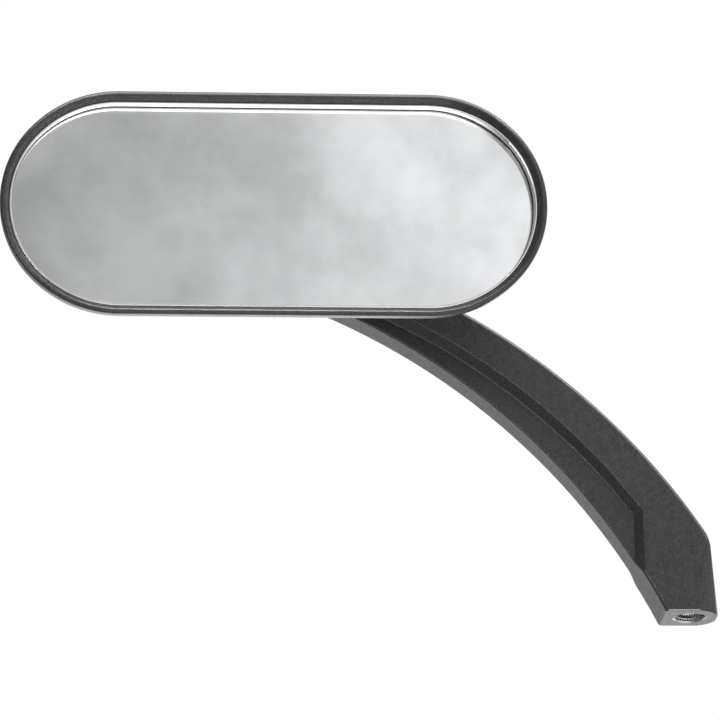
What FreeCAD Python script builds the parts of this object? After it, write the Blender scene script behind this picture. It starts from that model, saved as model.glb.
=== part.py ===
import FreeCAD, Part
import math
import os
import re
import Sketcher

# Oval rear-view mirror on a curved cast stem, in millimetres.
# The origin is the centre of the stem's tapped hole, on its mounting face.
# +Z runs up along the hole, +X to the stem's outer side, and the glass looks towards -Y.

SIZES = [
    # stem blade, seen from the front
    ("swivel_reach", 109.3),
    ("swivel_height", 99.1),
    ("end_width", 14.4),
    ("end_lean", 6.3),
    ("shoulder_height", 19.75),
    ("shoulder_round", 11.0),
    ("upper_edge_radius", 177.4),
    ("upper_edge_over_ball", 1.95),
    ("lower_edge_radius", 173.7),
    ("boss_radius", 8.9),
    ("boss_fillet", 16.0),
    # stem blade, across its thickness
    ("stem_thickness", 14.4),
    ("stem_edge_round", 1.0),
    ("end_round", 6.2),
    ("end_round_top", 0.5),
    ("end_round_angle", 76.0),
    ("end_base_round", 0.45),
    ("spine_width", 7.5),
    ("spine_gain", 3.05),
    ("pocket_depth", 2.6),
    ("pocket_slope", 2.1),
    ("pocket_end", 12.2),
    ("pocket_corner", 3.0),
    ("pocket_run_out", 2.0),
    ("pocket_boss_gap", 10.0),
    ("pocket_edge_round", 0.5),
    # tapped hole of the mount
    ("mount_thread_radius", 3.97),
    ("mount_thread_depth", 16.0),
    ("mount_mouth_chamfer", 0.43),
    ("drill_tip_angle", 31.0),
    # ball stud and its screw
    ("ball_standoff", 20.0),
    ("ball_radius", 7.0),
    ("neck_radius", 4.0),
    ("neck_seat_depth", 3.0),
    ("neck_clearance", 0.05),
    ("screw_radius", 2.95),
    ("screw_thread_clearance", 0.05),
    ("screw_hole_clearance", 0.25),
    ("screw_length", 14.0),
    ("screw_tip_gap", 1.9),
    ("screw_head_radius", 5.0),
    ("screw_head_height", 6.0),
    ("screw_head_edge", 0.6),
    ("screw_head_clearance", 0.5),
    ("screw_head_recess", 0.5),
    ("screw_socket_flat", 2.5),
    ("screw_socket_depth", 3.0),
    ("lock_washer_thickness", 1.5),
    ("washer_slit", 0.8),
    # swivel seats, concentric with the ball
    ("seat_clearance", 0.2),
    ("seat_thickness", 1.4),
    ("seat_neck_room", 1.54),
    ("rear_seat_front", 0.6),
    ("front_seat_back", 4.9),
    # head: outline and front lip
    ("rest_tilt", 9.5),
    ("head_length", 139.8),
    ("head_height", 57.5),
    ("head_nose_cut", 1.25),
    ("head_corner_gain", 2.6),
    ("rim_round", 1.1),
    ("lip_width", 1.2),
    ("funnel_depth", 2.3),
    ("wall", 2.3),
    ("ledge_width", 8.0),
    # head: back, with the socket's hub and the screw posts
    ("back_round", 18.8),
    ("back_wall", 2.5),
    ("cavity_round", 7.0),
    ("hub_wall", 4.0),
    ("hub_taper", 1.2),
    ("hub_edge", 1.0),
    ("hub_land", 0.5),
    ("lip_neck_room", 2.95),
    ("post_top", 3.3),
    ("post_height", 2.8),
    ("post_root", 0.6),
    ("post_radius", 4.2),
    ("post_spacing_x", 34.0),
    ("post_spacing_y", 14.0),
    # clamp plate and its screws
    ("clamp_gap", 0.6),
    ("clamp_thickness", 1.2),
    ("clamp_margin", 6.0),
    ("clamp_corner", 4.0),
    ("dimple_gap", 1.5),
    ("clamp_screw_radius", 2.0),
    ("clamp_thread_clearance", 0.05),
    ("clamp_hole_clearance", 0.25),
    ("clamp_hole_floor", 1.1),
    ("clamp_screw_tip_gap", 0.5),
    ("clamp_head_radius", 3.6),
    ("clamp_head_height", 2.4),
    ("clamp_slot_width", 1.0),
    ("clamp_slot_depth", 1.1),
    ("clamp_washer_radius", 4.0),
    ("clamp_washer_thickness", 0.8),
    ("clamp_lock_thickness", 1.0),
    # glass, its gasket and the bright ring
    ("glass_thickness", 2.5),
    ("glass_clearance", 0.15),
    ("glass_edge_bevel", 0.4),
    ("gasket_thickness", 0.8),
    ("gasket_width", 5.0),
    ("ring_depth", 3.2),
    ("ring_wall", 0.6),
    ("ring_edge_round", 0.2),
    ("ring_clearance", 0.05),
]

START, END, CENTRE = range(1, 4)
H_AXIS, V_AXIS = range(-1, -3, -1)
ORIGIN = (H_AXIS, START)
FRONT = FreeCAD.Vector(0, 0, 1)

doc = FreeCAD.newDocument("rear_view_mirror")
sheet = doc.addObject("Spreadsheet::Sheet", "Sizes")
for row, (alias, value) in enumerate(SIZES, start=1):
    sheet.set("A%d" % row, alias)
    sheet.set("B%d" % row, str(value))
    sheet.setAlias("B%d" % row, alias)
doc.recompute()
size = {alias: float(sheet.get(alias)) for alias, value in SIZES}
sub_parts = []


def value_of(text):
    """The number that a formula over the sheet's names gives."""
    return float(sheet.evalExpression(text))


def bind(item, prop, text):
    """Tie a property to a formula, with each of the sheet's names written out in full."""
    words = re.split("([a-z_]+)", text)
    item.setExpression(prop, "".join("Sizes." + word if word in size else word for word in words))


# Sketch helpers

def new_body(name):
    body = doc.addObject("PartDesign::Body", name)
    body.Label = name
    sub_parts.append(body)
    return body


def origin_plane(body, role):
    return next(item for item in body.Origin.OriginFeatures if item.Role == role)


def new_sketch(body, name, role, lift=None):
    """A sketch on one of the body's own planes, lifted along the plane's normal."""
    sketch = body.newObject("Sketcher::SketchObject", name)
    sketch.AttachmentSupport = [(origin_plane(body, role), "")]
    sketch.MapMode = "FlatFace"
    if lift:
        bind(sketch, "AttachmentOffset.Base.z", lift)
    return sketch


def fix(sketch, kind, refs, text):
    """Add a dimension to the sketch and bind it to a formula."""
    index = sketch.addConstraint(Sketcher.Constraint(kind, *refs, value_of(text)))
    bind(sketch, "Constraints[%d]" % index, text)


def join(sketch, kind, *refs):
    sketch.addConstraint(Sketcher.Constraint(kind, *refs))


def fix_point(sketch, geo, pos, x_text, y_text):
    """Hold a point at a place given by two formulas; None puts it on that axis."""
    if x_text is None:
        join(sketch, "PointOnObject", geo, pos, V_AXIS)
    else:
        fix(sketch, "DistanceX", ORIGIN + (geo, pos), x_text)
    if y_text is None:
        join(sketch, "PointOnObject", geo, pos, H_AXIS)
    else:
        fix(sketch, "DistanceY", ORIGIN + (geo, pos), y_text)


def place(x_text, y_text):
    x = 0.0 if x_text is None else value_of(x_text)
    y = 0.0 if y_text is None else value_of(y_text)
    return FreeCAD.Vector(x, y, 0)


def polygon(sketch, corners):
    """A closed outline of straight lines through corners given as formulas."""
    spots = [place(*corner) for corner in corners]
    first = sketch.GeometryCount
    count = len(spots)
    for index in range(count):
        sketch.addGeometry(Part.LineSegment(spots[index], spots[(index + 1) % count]), False)
    for index in range(count):
        join(sketch, "Coincident", first + index, END, first + (index + 1) % count, START)
        fix_point(sketch, first + index, START, *corners[index])


def circle(sketch, x_text, y_text, radius_text):
    geo = sketch.addGeometry(Part.Circle(place(x_text, y_text), FRONT, value_of(radius_text)), False)
    fix_point(sketch, geo, CENTRE, x_text, y_text)
    fix(sketch, "Radius", (geo,), radius_text)


def arc(sketch, centre, radius, start, end):
    """An arc that runs counter-clockwise from start to end."""
    angles = [math.atan2(p.y - centre.y, p.x - centre.x) for p in (start, end)]
    return sketch.addGeometry(Part.ArcOfCircle(Part.Circle(centre, FRONT, radius), *angles), False)


def touch_point(centre, towards, radius):
    return centre + (towards - centre).normalize() * radius


def four_circles(sketch, radius_text):
    """One circle on each corner of the clamp screws' rectangle."""
    for x_sign in ("", "-"):
        for y_sign in ("", "-"):
            circle(sketch, x_sign + "post_spacing_x/2", y_sign + "post_spacing_y/2", radius_text)


def oval(sketch, inset_text):
    """The head's outline, drawn inwards by an inset.

    Each end is a nose between two corners of larger radius, which run into the straight top and base.
    """
    inset = "-(%s)" % inset_text
    nose_text = "head_height/2-head_nose_cut" + inset
    corner_text = "head_height/2+head_corner_gain" + inset
    nose_x = "(head_length-head_height)/2+head_nose_cut"
    nose_radius = value_of(nose_text)
    corner_radius = value_of(corner_text)
    height = value_of("head_height/2" + inset)
    drop = size["head_corner_gain"]
    nose = FreeCAD.Vector(value_of(nose_x), 0, 0)
    back = math.sqrt((corner_radius - nose_radius) ** 2 - drop ** 2)
    corner = FreeCAD.Vector(nose.x - back, -drop, 0)
    change = touch_point(corner, nose, corner_radius)
    top_end = FreeCAD.Vector(corner.x, height, 0)

    def at(point, x_sign, y_sign):
        return FreeCAD.Vector(x_sign * point.x, y_sign * point.y, 0)

    # counter-clockwise from the right nose: half a turn ends at the left nose, and the other half closes it
    first = sketch.GeometryCount
    noses = []
    corners = []
    for sign, sign_text in ((1, ""), (-1, "-")):
        noses.append(arc(sketch, at(nose, sign, sign), nose_radius,
                         at(change, sign, -sign), at(change, sign, sign)))
        corners.append(arc(sketch, at(corner, sign, sign), corner_radius,
                           at(change, sign, sign), at(top_end, sign, sign)))
        run = Part.LineSegment(at(top_end, sign, sign), at(top_end, -sign, sign))
        line = sketch.addGeometry(run, False)
        corners.append(arc(sketch, at(corner, -sign, sign), corner_radius,
                           at(top_end, -sign, sign), at(change, -sign, sign)))
        fix_point(sketch, noses[-1], CENTRE, "%s(%s)" % (sign_text, nose_x), None)
        join(sketch, "Horizontal", line)
        fix(sketch, "DistanceY", ORIGIN + (line, START), "%s(head_height/2%s)" % (sign_text, inset))
    count = sketch.GeometryCount - first
    for step in range(count):
        join(sketch, "Tangent", first + step, END, first + (step + 1) % count, START)
    fix(sketch, "Radius", (noses[0],), nose_text)
    fix(sketch, "Radius", (corners[0],), corner_text)
    join(sketch, "Equal", *noses)
    for corner_arc in corners[1:]:
        join(sketch, "Equal", corners[0], corner_arc)


# Feature helpers

def pad(body, sketch, length_text, symmetric=False):
    item = body.newObject("PartDesign::Pad", sketch.Name + "_pad")
    item.Profile = sketch
    item.SideType = "Symmetric" if symmetric else "One side"
    bind(item, "Length", length_text)
    return item


def pocket(body, sketch, length_text):
    """Cut against the sketch's normal."""
    item = body.newObject("PartDesign::Pocket", sketch.Name + "_pocket")
    item.Profile = sketch
    item.SideType = "One side"
    bind(item, "Length", length_text)
    return item


def turn(body, sketch, kind="Revolution"):
    """Turn the sketch once around its own vertical axis, as a solid or as a groove."""
    item = body.newObject("PartDesign::" + kind, sketch.Name + "_turned")
    item.Profile = sketch
    item.ReferenceAxis = (sketch, ["V_Axis"])
    item.Angle = 360
    return item


def loft_cut(body, first, second):
    item = body.newObject("PartDesign::SubtractiveLoft", first.Name + "_loft")
    item.Profile = first
    item.Sections = [second]
    item.Ruled = True
    return item


def edges_where(shape, test):
    return ["Edge%d" % number for number, edge in enumerate(shape.Edges, start=1) if test(edge)]


def dress(body, kind, prop, size_text, test):
    """Round or bevel the edges of the body's present shape that pass a test."""
    doc.recompute()
    base = body.Tip
    names = edges_where(base.Shape, test)
    item = body.newObject("PartDesign::" + kind, "%s_%s_%d" % (body.Name, kind.lower(), len(body.Group)))
    item.Base = (base, names)
    bind(item, prop, size_text)
    return item


def middle_of(edge):
    return edge.valueAt((edge.FirstParameter + edge.LastParameter) / 2)


def near(a, b):
    return abs(a - b) < 1e-4


# Places: stem pieces stand on the swivel axis, head pieces are also tilted with the glass

def put_on_swivel(body, tilted):
    """Local Z points out of the front, local Y up, and the local origin is the ball's centre."""
    body.Placement = FreeCAD.Placement(FreeCAD.Vector(), FreeCAD.Rotation(FreeCAD.Vector(1, 0, 0), 90))
    bind(body, "Placement.Base.x", "-swivel_reach")
    bind(body, "Placement.Base.y", "-stem_thickness/2-ball_standoff")
    bind(body, "Placement.Base.z", "swivel_height")
    if tilted:
        bind(body, "Placement.Rotation.Angle", "90+rest_tilt")


# Stem: the two long edges are arcs that run from the tapped end to the swivel boss

def meet(p, p_radius, q, q_radius, side):
    """Where two circles cross: side 1 is left of the way from p to q, and -1 right of it."""
    way = q - p
    along = (p_radius ** 2 - q_radius ** 2 + way.Length ** 2) / (2 * way.Length)
    across = math.sqrt(p_radius ** 2 - along ** 2)
    unit = FreeCAD.Vector(way).normalize()
    return p + unit * along + FreeCAD.Vector(-unit.y, unit.x, 0) * side * across


END_ROUND = "min(end_round;0.45*stem_thickness)"
SHOULDER = ("end_width/2-shoulder_height*tan(end_lean)", "shoulder_height")
SWIVEL = ("-swivel_reach", "swivel_height")
swivel = place(*SWIVEL)
upper_radius = size["upper_edge_radius"]
upper_centre = meet(place(*SHOULDER), upper_radius,
                    swivel, upper_radius - size["upper_edge_over_ball"], 1)
end_left = place("-end_width/2", None)
spine_centre = meet(place(*SHOULDER), upper_radius + size["spine_gain"],
                    swivel, upper_radius - size["upper_edge_over_ball"], 1)
lower_radius = size["lower_edge_radius"]
lower_centre = meet(end_left, lower_radius, swivel, lower_radius + size["boss_radius"], 1)


def hold_arc_centre(sketch, geo, shoulder_text):
    """Hold the centre of an arc along the blade by its distances from the shoulder and the swivel."""
    shoulder_point = sketch.addGeometry(Part.Point(place(*SHOULDER)), True)
    swivel_point = sketch.addGeometry(Part.Point(swivel), True)
    fix_point(sketch, shoulder_point, START, *SHOULDER)
    fix_point(sketch, swivel_point, START, *SWIVEL)
    fix(sketch, "Distance", (geo, CENTRE, shoulder_point, START), shoulder_text)
    fix(sketch, "Distance", (geo, CENTRE, swivel_point, START), "upper_edge_radius-upper_edge_over_ball")
    return shoulder_point, swivel_point


def draw_blade(sketch):
    end_right = place("end_width/2", None)
    lean = math.radians(size["end_lean"])
    corner = size["shoulder_round"]
    fillet = size["boss_fillet"]
    boss = size["boss_radius"]
    up_side = FreeCAD.Vector(-math.sin(lean), math.cos(lean), 0)
    inward = FreeCAD.Vector(-math.cos(lean), -math.sin(lean), 0)
    # the shoulder's arc lies inside the upper edge and beside the leaning end
    foot = end_right + inward * corner
    gap = foot - upper_centre
    along = gap.dot(up_side)
    slide = math.sqrt(along ** 2 - gap.dot(gap) + (upper_radius - corner) ** 2) - along
    corner_centre = foot + up_side * slide
    fillet_centre = meet(swivel, boss + fillet, upper_centre, upper_radius + fillet, 1)
    corner_start = corner_centre - inward * corner
    corner_end = touch_point(upper_centre, corner_centre, upper_radius)
    upper_end = touch_point(upper_centre, fillet_centre, upper_radius)
    boss_start = touch_point(swivel, fillet_centre, boss)
    boss_end = touch_point(swivel, lower_centre, boss)
    base_line = sketch.addGeometry(Part.LineSegment(end_left, end_right), False)
    side_line = sketch.addGeometry(Part.LineSegment(end_right, corner_start), False)
    corner_arc = arc(sketch, corner_centre, corner, corner_start, corner_end)
    upper_arc = arc(sketch, upper_centre, upper_radius, corner_end, upper_end)
    fillet_arc = arc(sketch, fillet_centre, fillet, boss_start, upper_end)
    boss_arc = arc(sketch, swivel, boss, boss_start, boss_end)
    lower_arc = arc(sketch, lower_centre, lower_radius, end_left, boss_end)
    shoulder_point, swivel_point = hold_arc_centre(sketch, upper_arc, "upper_edge_radius")
    fix_point(sketch, base_line, START, "-end_width/2", None)
    fix_point(sketch, base_line, END, "end_width/2", None)
    join(sketch, "Coincident", base_line, END, side_line, START)
    join(sketch, "Tangent", side_line, END, corner_arc, START)
    join(sketch, "Tangent", corner_arc, END, upper_arc, START)
    join(sketch, "Tangent", upper_arc, END, fillet_arc, END)
    join(sketch, "Tangent", fillet_arc, START, boss_arc, START)
    join(sketch, "Tangent", boss_arc, END, lower_arc, END)
    join(sketch, "Coincident", lower_arc, START, base_line, START)
    join(sketch, "Coincident", boss_arc, CENTRE, swivel_point, START)
    join(sketch, "PointOnObject", shoulder_point, START, side_line)
    fix(sketch, "Radius", (corner_arc,), "shoulder_round")
    fix(sketch, "Radius", (upper_arc,), "upper_edge_radius")
    fix(sketch, "Radius", (fillet_arc,), "boss_fillet")
    fix(sketch, "Radius", (boss_arc,), "boss_radius")
    fix(sketch, "Radius", (lower_arc,), "lower_edge_radius")


def draw_pocket(sketch, slope_text):
    """The area below the spine, which widens downwards; the slope draws its three walls inwards."""
    wall_text = "upper_edge_radius-spine_width-(%s)" % slope_text
    turn_text = "boss_radius+pocket_boss_gap+(%s)" % slope_text
    side_text = "-pocket_end-(%s)" % slope_text
    corner_text = "pocket_corner-(%s)" % slope_text
    wall_radius = value_of(wall_text)
    turn_radius = value_of(turn_text)
    side = value_of(side_text)
    corner = value_of(corner_text)
    # corner arcs lie inside the wall's circle, one beside the straight side and one outside the boss
    rise = math.sqrt((wall_radius - corner) ** 2 - (side - corner - spine_centre.x) ** 2)
    low_corner = FreeCAD.Vector(side - corner, spine_centre.y + rise, 0)
    high_corner = meet(swivel, turn_radius + corner, spine_centre, wall_radius - corner, 1)
    side_end = low_corner + FreeCAD.Vector(corner, 0, 0)
    wall_start = touch_point(spine_centre, low_corner, wall_radius)
    wall_end = touch_point(spine_centre, high_corner, wall_radius)
    turn_end = touch_point(swivel, high_corner, turn_radius)
    below_boss = swivel - FreeCAD.Vector(0, turn_radius, 0)
    run_out = place(side_text, "pocket_run_out")
    wall_arc = arc(sketch, spine_centre, wall_radius, wall_start, wall_end)
    low_arc = arc(sketch, low_corner, corner, side_end, wall_start)
    high_arc = arc(sketch, high_corner, corner, wall_end, turn_end)
    turn_arc = arc(sketch, swivel, turn_radius, below_boss, turn_end)
    chord = sketch.addGeometry(Part.LineSegment(below_boss, run_out), False)
    side_line = sketch.addGeometry(Part.LineSegment(run_out, side_end), False)
    swivel_point = hold_arc_centre(sketch, wall_arc, "upper_edge_radius+spine_gain")[1]
    join(sketch, "Tangent", side_line, END, low_arc, START)
    join(sketch, "Tangent", low_arc, END, wall_arc, START)
    join(sketch, "Tangent", wall_arc, END, high_arc, START)
    join(sketch, "Tangent", high_arc, END, turn_arc, END)
    join(sketch, "Coincident", turn_arc, START, chord, START)
    join(sketch, "Coincident", chord, END, side_line, START)
    join(sketch, "Coincident", turn_arc, CENTRE, swivel_point, START)
    join(sketch, "Vertical", turn_arc, START, swivel_point, START)
    join(sketch, "Vertical", side_line)
    fix_point(sketch, side_line, START, side_text, "pocket_run_out")
    fix(sketch, "Radius", (wall_arc,), wall_text)
    fix(sketch, "Radius", (turn_arc,), turn_text)
    fix(sketch, "Radius", (low_arc,), corner_text)
    fix(sketch, "Radius", (high_arc,), corner_text)


def draw_end_corner(sketch, y_sign, side_text, round_text):
    """What is cut from one outer corner of the tapped end to leave it round, at one height."""
    half = y_sign + "(stem_thickness/2%s)"
    inner = ("%s-(%s)" % (side_text, round_text), half % "")
    outer = (side_text, half % ("-(%s)" % round_text))
    beyond = (side_text + "+" + END_ROUND, half % ("+" + END_ROUND))
    corners = [inner, (inner[0], beyond[1]), beyond, (beyond[0], outer[1]), outer]
    spots = [place(*corner) for corner in corners]
    radius_text = "(%s)/sqrt(2)/sin(end_round_angle/2)" % round_text
    radius = value_of(radius_text)
    first = sketch.GeometryCount
    for begin, finish in zip(spots, spots[1:]):
        sketch.addGeometry(Part.LineSegment(begin, finish), False)
    begin, finish = (spots[0], spots[4]) if y_sign else (spots[4], spots[0])
    at_inner, at_outer = (START, END) if y_sign else (END, START)
    centre = meet(begin, radius, finish, radius, 1)
    rounding = arc(sketch, centre, radius, begin, finish)
    for step in range(3):
        join(sketch, "Coincident", first + step, END, first + step + 1, START)
    join(sketch, "Coincident", rounding, at_outer, first + 3, END)
    join(sketch, "Coincident", rounding, at_inner, first, START)
    for step in range(4):
        fix_point(sketch, first + step, START, *corners[step])
    fix_point(sketch, first + 3, END, *outer)
    fix(sketch, "Radius", (rounding,), radius_text)


stem = new_body("stem")
blade = new_sketch(stem, "blade_outline", "XZ_Plane")
draw_blade(blade)
pad(stem, blade, "stem_thickness", symmetric=True)
half_stem = size["stem_thickness"] / 2
dress(stem, "Fillet", "Radius", "stem_edge_round",
      lambda edge: near(abs(middle_of(edge).y), half_stem) and middle_of(edge).z > 1e-3)
dress(stem, "Fillet", "Radius", "end_base_round", lambda edge: near(middle_of(edge).z, 0))

for side_name, y_sign in (("rear", ""), ("front", "-")):
    corner_foot = new_sketch(stem, side_name + "_corner_foot", "XY_Plane")
    draw_end_corner(corner_foot, y_sign, "end_width/2", END_ROUND)
    corner_top = new_sketch(stem, side_name + "_corner_top", "XY_Plane", "shoulder_height")
    draw_end_corner(corner_top, y_sign, SHOULDER[0], "end_round_top")
    loft_cut(stem, corner_foot, corner_top)

pocket_mouth = new_sketch(stem, "pocket_mouth", "XZ_Plane", "stem_thickness/2")
draw_pocket(pocket_mouth, "0")
pocket_floor = new_sketch(stem, "pocket_floor", "XZ_Plane", "stem_thickness/2-pocket_depth")
draw_pocket(pocket_floor, "pocket_slope")
front_pocket = loft_cut(stem, pocket_mouth, pocket_floor)
doc.recompute()
both_pockets = stem.newObject("PartDesign::Mirrored", "both_pockets")
both_pockets.Originals = [front_pocket]
both_pockets.MirrorPlane = (origin_plane(stem, "XZ_Plane"), [""])
stem.Tip = both_pockets


def on_pocket_edge(edge):
    """Is an edge at the top or the foot of a pocket's wall, or at the outer side of its floor?"""
    middle = middle_of(edge)
    flat = FreeCAD.Vector(middle.x, middle.z, 0)
    at_floor = near(abs(middle.y), half_stem - size["pocket_depth"])
    if not at_floor and not near(abs(middle.y), half_stem):
        return False
    slope = size["pocket_slope"] if at_floor else 0
    on_wall = near((flat - spine_centre).Length, upper_radius - size["spine_width"] - slope)
    on_turn = near((flat - swivel).Length, size["boss_radius"] + size["pocket_boss_gap"] + slope)
    on_side = near(flat.x, -size["pocket_end"] - slope)
    on_outer = at_floor and near((flat - lower_centre).Length, lower_radius)
    return on_wall or on_turn or on_side or on_outer


dress(stem, "Fillet", "Radius", "pocket_edge_round", on_pocket_edge)

mount_hole = new_sketch(stem, "mount_hole", "XZ_Plane")
MOUTH = "mount_thread_radius+mount_mouth_chamfer"
polygon(mount_hole, [
    (None, "-mount_thread_radius"),
    (MOUTH + "+mount_thread_radius", "-mount_thread_radius"),
    ("mount_thread_radius", "mount_mouth_chamfer"),
    ("mount_thread_radius", "mount_thread_depth"),
    (None, "mount_thread_depth+mount_thread_radius*tan(drill_tip_angle)"),
])
turn(stem, mount_hole, "Groove")

SCREW_HOLE = "screw_radius+screw_hole_clearance"
COUNTERBORE = "lock_washer_thickness+screw_head_height+screw_head_recess"
swivel_hole = new_sketch(stem, "swivel_hole", "XY_Plane", "swivel_height")
bind(swivel_hole, "AttachmentOffset.Base.x", "-swivel_reach")
polygon(swivel_hole, [
    (None, "-stem_thickness"),
    ("neck_radius+neck_clearance", "-stem_thickness"),
    ("neck_radius+neck_clearance", "-stem_thickness/2+neck_seat_depth"),
    (SCREW_HOLE, "-stem_thickness/2+neck_seat_depth"),
    (SCREW_HOLE, "stem_thickness/2-(%s)" % COUNTERBORE),
    ("screw_head_radius+screw_head_clearance", "stem_thickness/2-(%s)" % COUNTERBORE),
    ("screw_head_radius+screw_head_clearance", "stem_thickness"),
    (None, "stem_thickness"),
])
turn(stem, swivel_hole, "Groove")

# Ball stud: a turned ball on a neck, tapped from its back end

SCREW_GRIP = "lock_washer_thickness+stem_thickness-(%s)-neck_seat_depth" % COUNTERBORE
STUD_HOLE = "screw_length-(%s)+screw_tip_gap" % SCREW_GRIP
swivel_ball = new_body("swivel_ball")
stud = new_sketch(swivel_ball, "stud_profile", "XZ_Plane")


def draw_stud(sketch):
    ball = size["ball_radius"]
    neck = size["neck_radius"]
    pole = FreeCAD.Vector(0, ball, 0)
    waist = FreeCAD.Vector(neck, -math.sqrt(ball ** 2 - neck ** 2), 0)
    stud_end = "-ball_standoff-neck_seat_depth"
    bore = "screw_radius+screw_thread_clearance"
    hole_end = stud_end + "+" + STUD_HOLE
    corners = [("neck_radius", stud_end), (bore, stud_end), (bore, hole_end),
               (None, "%s+(%s)*tan(drill_tip_angle)" % (hole_end, bore))]
    spots = [waist] + [place(*corner) for corner in corners] + [pole]
    ball_arc = arc(sketch, FreeCAD.Vector(), ball, waist, pole)
    first = ball_arc + 1
    for begin, finish in zip(spots, spots[1:]):
        sketch.addGeometry(Part.LineSegment(begin, finish), False)
    join(sketch, "Coincident", ball_arc, START, first, START)
    for step, corner in enumerate(corners):
        join(sketch, "Coincident", first + step, END, first + step + 1, START)
        fix_point(sketch, first + step, END, *corner)
    join(sketch, "Coincident", first + len(corners), END, ball_arc, END)
    join(sketch, "Coincident", ball_arc, CENTRE, *ORIGIN)
    join(sketch, "PointOnObject", ball_arc, END, V_AXIS)
    join(sketch, "Vertical", first)
    fix(sketch, "Radius", (ball_arc,), "ball_radius")


draw_stud(stud)
turn(swivel_ball, stud)
put_on_swivel(swivel_ball, tilted=False)

# Socket-head screw and its split washer, in the counterbore behind the boss

WASHER_FLOOR = "-ball_standoff-stem_thickness+" + COUNTERBORE
HEAD_FLOOR = WASHER_FLOOR + "-lock_washer_thickness"
swivel_bolt = new_body("swivel_bolt")
bolt = new_sketch(swivel_bolt, "bolt_profile", "XZ_Plane")
polygon(bolt, [
    (None, HEAD_FLOOR + "-screw_head_height"),
    ("screw_head_radius", HEAD_FLOOR + "-screw_head_height"),
    ("screw_head_radius", HEAD_FLOOR),
    ("screw_radius", HEAD_FLOOR),
    ("screw_radius", HEAD_FLOOR + "+screw_length"),
    (None, HEAD_FLOOR + "+screw_length"),
])
turn(swivel_bolt, bolt)


def hexagon(sketch, flat_text):
    """A hexagon about the sketch's origin, with a given half width across its flats."""
    reach = flat_text + "*2/sqrt(3)"
    half_side = flat_text + "/sqrt(3)"
    polygon(sketch, [
        (reach, None), (half_side, flat_text), ("-" + half_side, flat_text),
        ("-" + reach, None), ("-" + half_side, "-" + flat_text), (half_side, "-" + flat_text),
    ])


SOCKET_FLOOR = HEAD_FLOOR + "-screw_head_height+screw_socket_depth"
bolt_socket = new_sketch(swivel_bolt, "bolt_socket", "XY_Plane", SOCKET_FLOOR)
hexagon(bolt_socket, "screw_socket_flat")
pocket(swivel_bolt, bolt_socket, "2*screw_socket_depth")
dress(swivel_bolt, "Fillet", "Radius", "screw_head_edge",
      lambda edge: near(middle_of(edge).z, value_of(HEAD_FLOOR + "-screw_head_height"))
      and near(edge.Length, value_of("2*pi*screw_head_radius")))
put_on_swivel(swivel_bolt, tilted=False)


def slit(sketch, x_text, y_text, reach_text):
    """The gap of a split washer, from its middle out past its edge."""
    polygon(sketch, [
        (x_text, y_text + "-washer_slit/2"),
        (x_text + "+" + reach_text, y_text + "-washer_slit/2"),
        (x_text + "+" + reach_text, y_text + "+washer_slit/2"),
        (x_text, y_text + "+washer_slit/2"),
    ])


swivel_lock_washer = new_body("swivel_lock_washer")
washer = new_sketch(swivel_lock_washer, "washer_outline", "XY_Plane", HEAD_FLOOR)
circle(washer, None, None, "screw_head_radius")
circle(washer, None, None, SCREW_HOLE)
pad(swivel_lock_washer, washer, "lock_washer_thickness")
washer_gap = new_sketch(swivel_lock_washer, "washer_gap", "XY_Plane", WASHER_FLOOR)
slit(washer_gap, "0", "0", "2*screw_head_radius")
pocket(swivel_lock_washer, washer_gap, "2*lock_washer_thickness")
put_on_swivel(swivel_lock_washer, tilted=False)

# Nylon seats: slices of one hollow ball that runs between the ball and the socket

SEAT_INNER = "ball_radius+seat_clearance"
SEAT_OUTER = "ball_radius+seat_clearance+seat_thickness"
SOCKET = "ball_radius+2*seat_clearance+seat_thickness"
REAR_SEAT_BACK = "-sqrt((%s)^2-(neck_radius+seat_neck_room)^2)" % SEAT_INNER


def ring_spot(radius_text, height_text):
    radius = value_of(radius_text)
    height = value_of(height_text)
    return FreeCAD.Vector(math.sqrt(radius ** 2 - height ** 2), height, 0)


def draw_seat(sketch, low_text, high_text):
    """Between two level cuts; without the upper one, the seat is a cup that closes at its pole."""
    inner_low = ring_spot(SEAT_INNER, low_text)
    outer_low = ring_spot(SEAT_OUTER, low_text)
    inner_high = ring_spot(SEAT_INNER, high_text or SEAT_INNER)
    outer_high = ring_spot(SEAT_OUTER, high_text or SEAT_OUTER)
    inner_arc = arc(sketch, FreeCAD.Vector(), value_of(SEAT_INNER), inner_low, inner_high)
    outer_arc = arc(sketch, FreeCAD.Vector(), value_of(SEAT_OUTER), outer_low, outer_high)
    low_line = sketch.addGeometry(Part.LineSegment(inner_low, outer_low), False)
    high_line = sketch.addGeometry(Part.LineSegment(inner_high, outer_high), False)
    for side, round_edge in ((START, inner_arc), (END, outer_arc)):
        join(sketch, "Coincident", low_line, side, round_edge, START)
        join(sketch, "Coincident", high_line, side, round_edge, END)
        join(sketch, "Coincident", round_edge, CENTRE, *ORIGIN)
    fix(sketch, "Radius", (inner_arc,), SEAT_INNER)
    fix(sketch, "Radius", (outer_arc,), SEAT_OUTER)
    join(sketch, "Horizontal", low_line)
    fix(sketch, "DistanceY", ORIGIN + (low_line, START), low_text)
    if high_text:
        join(sketch, "Horizontal", high_line)
        fix(sketch, "DistanceY", ORIGIN + (high_line, START), high_text)
    else:
        join(sketch, "PointOnObject", high_line, START, V_AXIS)
        join(sketch, "PointOnObject", high_line, END, V_AXIS)


rear_seat = new_body("rear_seat")
rear_profile = new_sketch(rear_seat, "rear_seat_profile", "XZ_Plane")
draw_seat(rear_profile, REAR_SEAT_BACK, "-rear_seat_front")
turn(rear_seat, rear_profile)
put_on_swivel(rear_seat, tilted=False)

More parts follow.
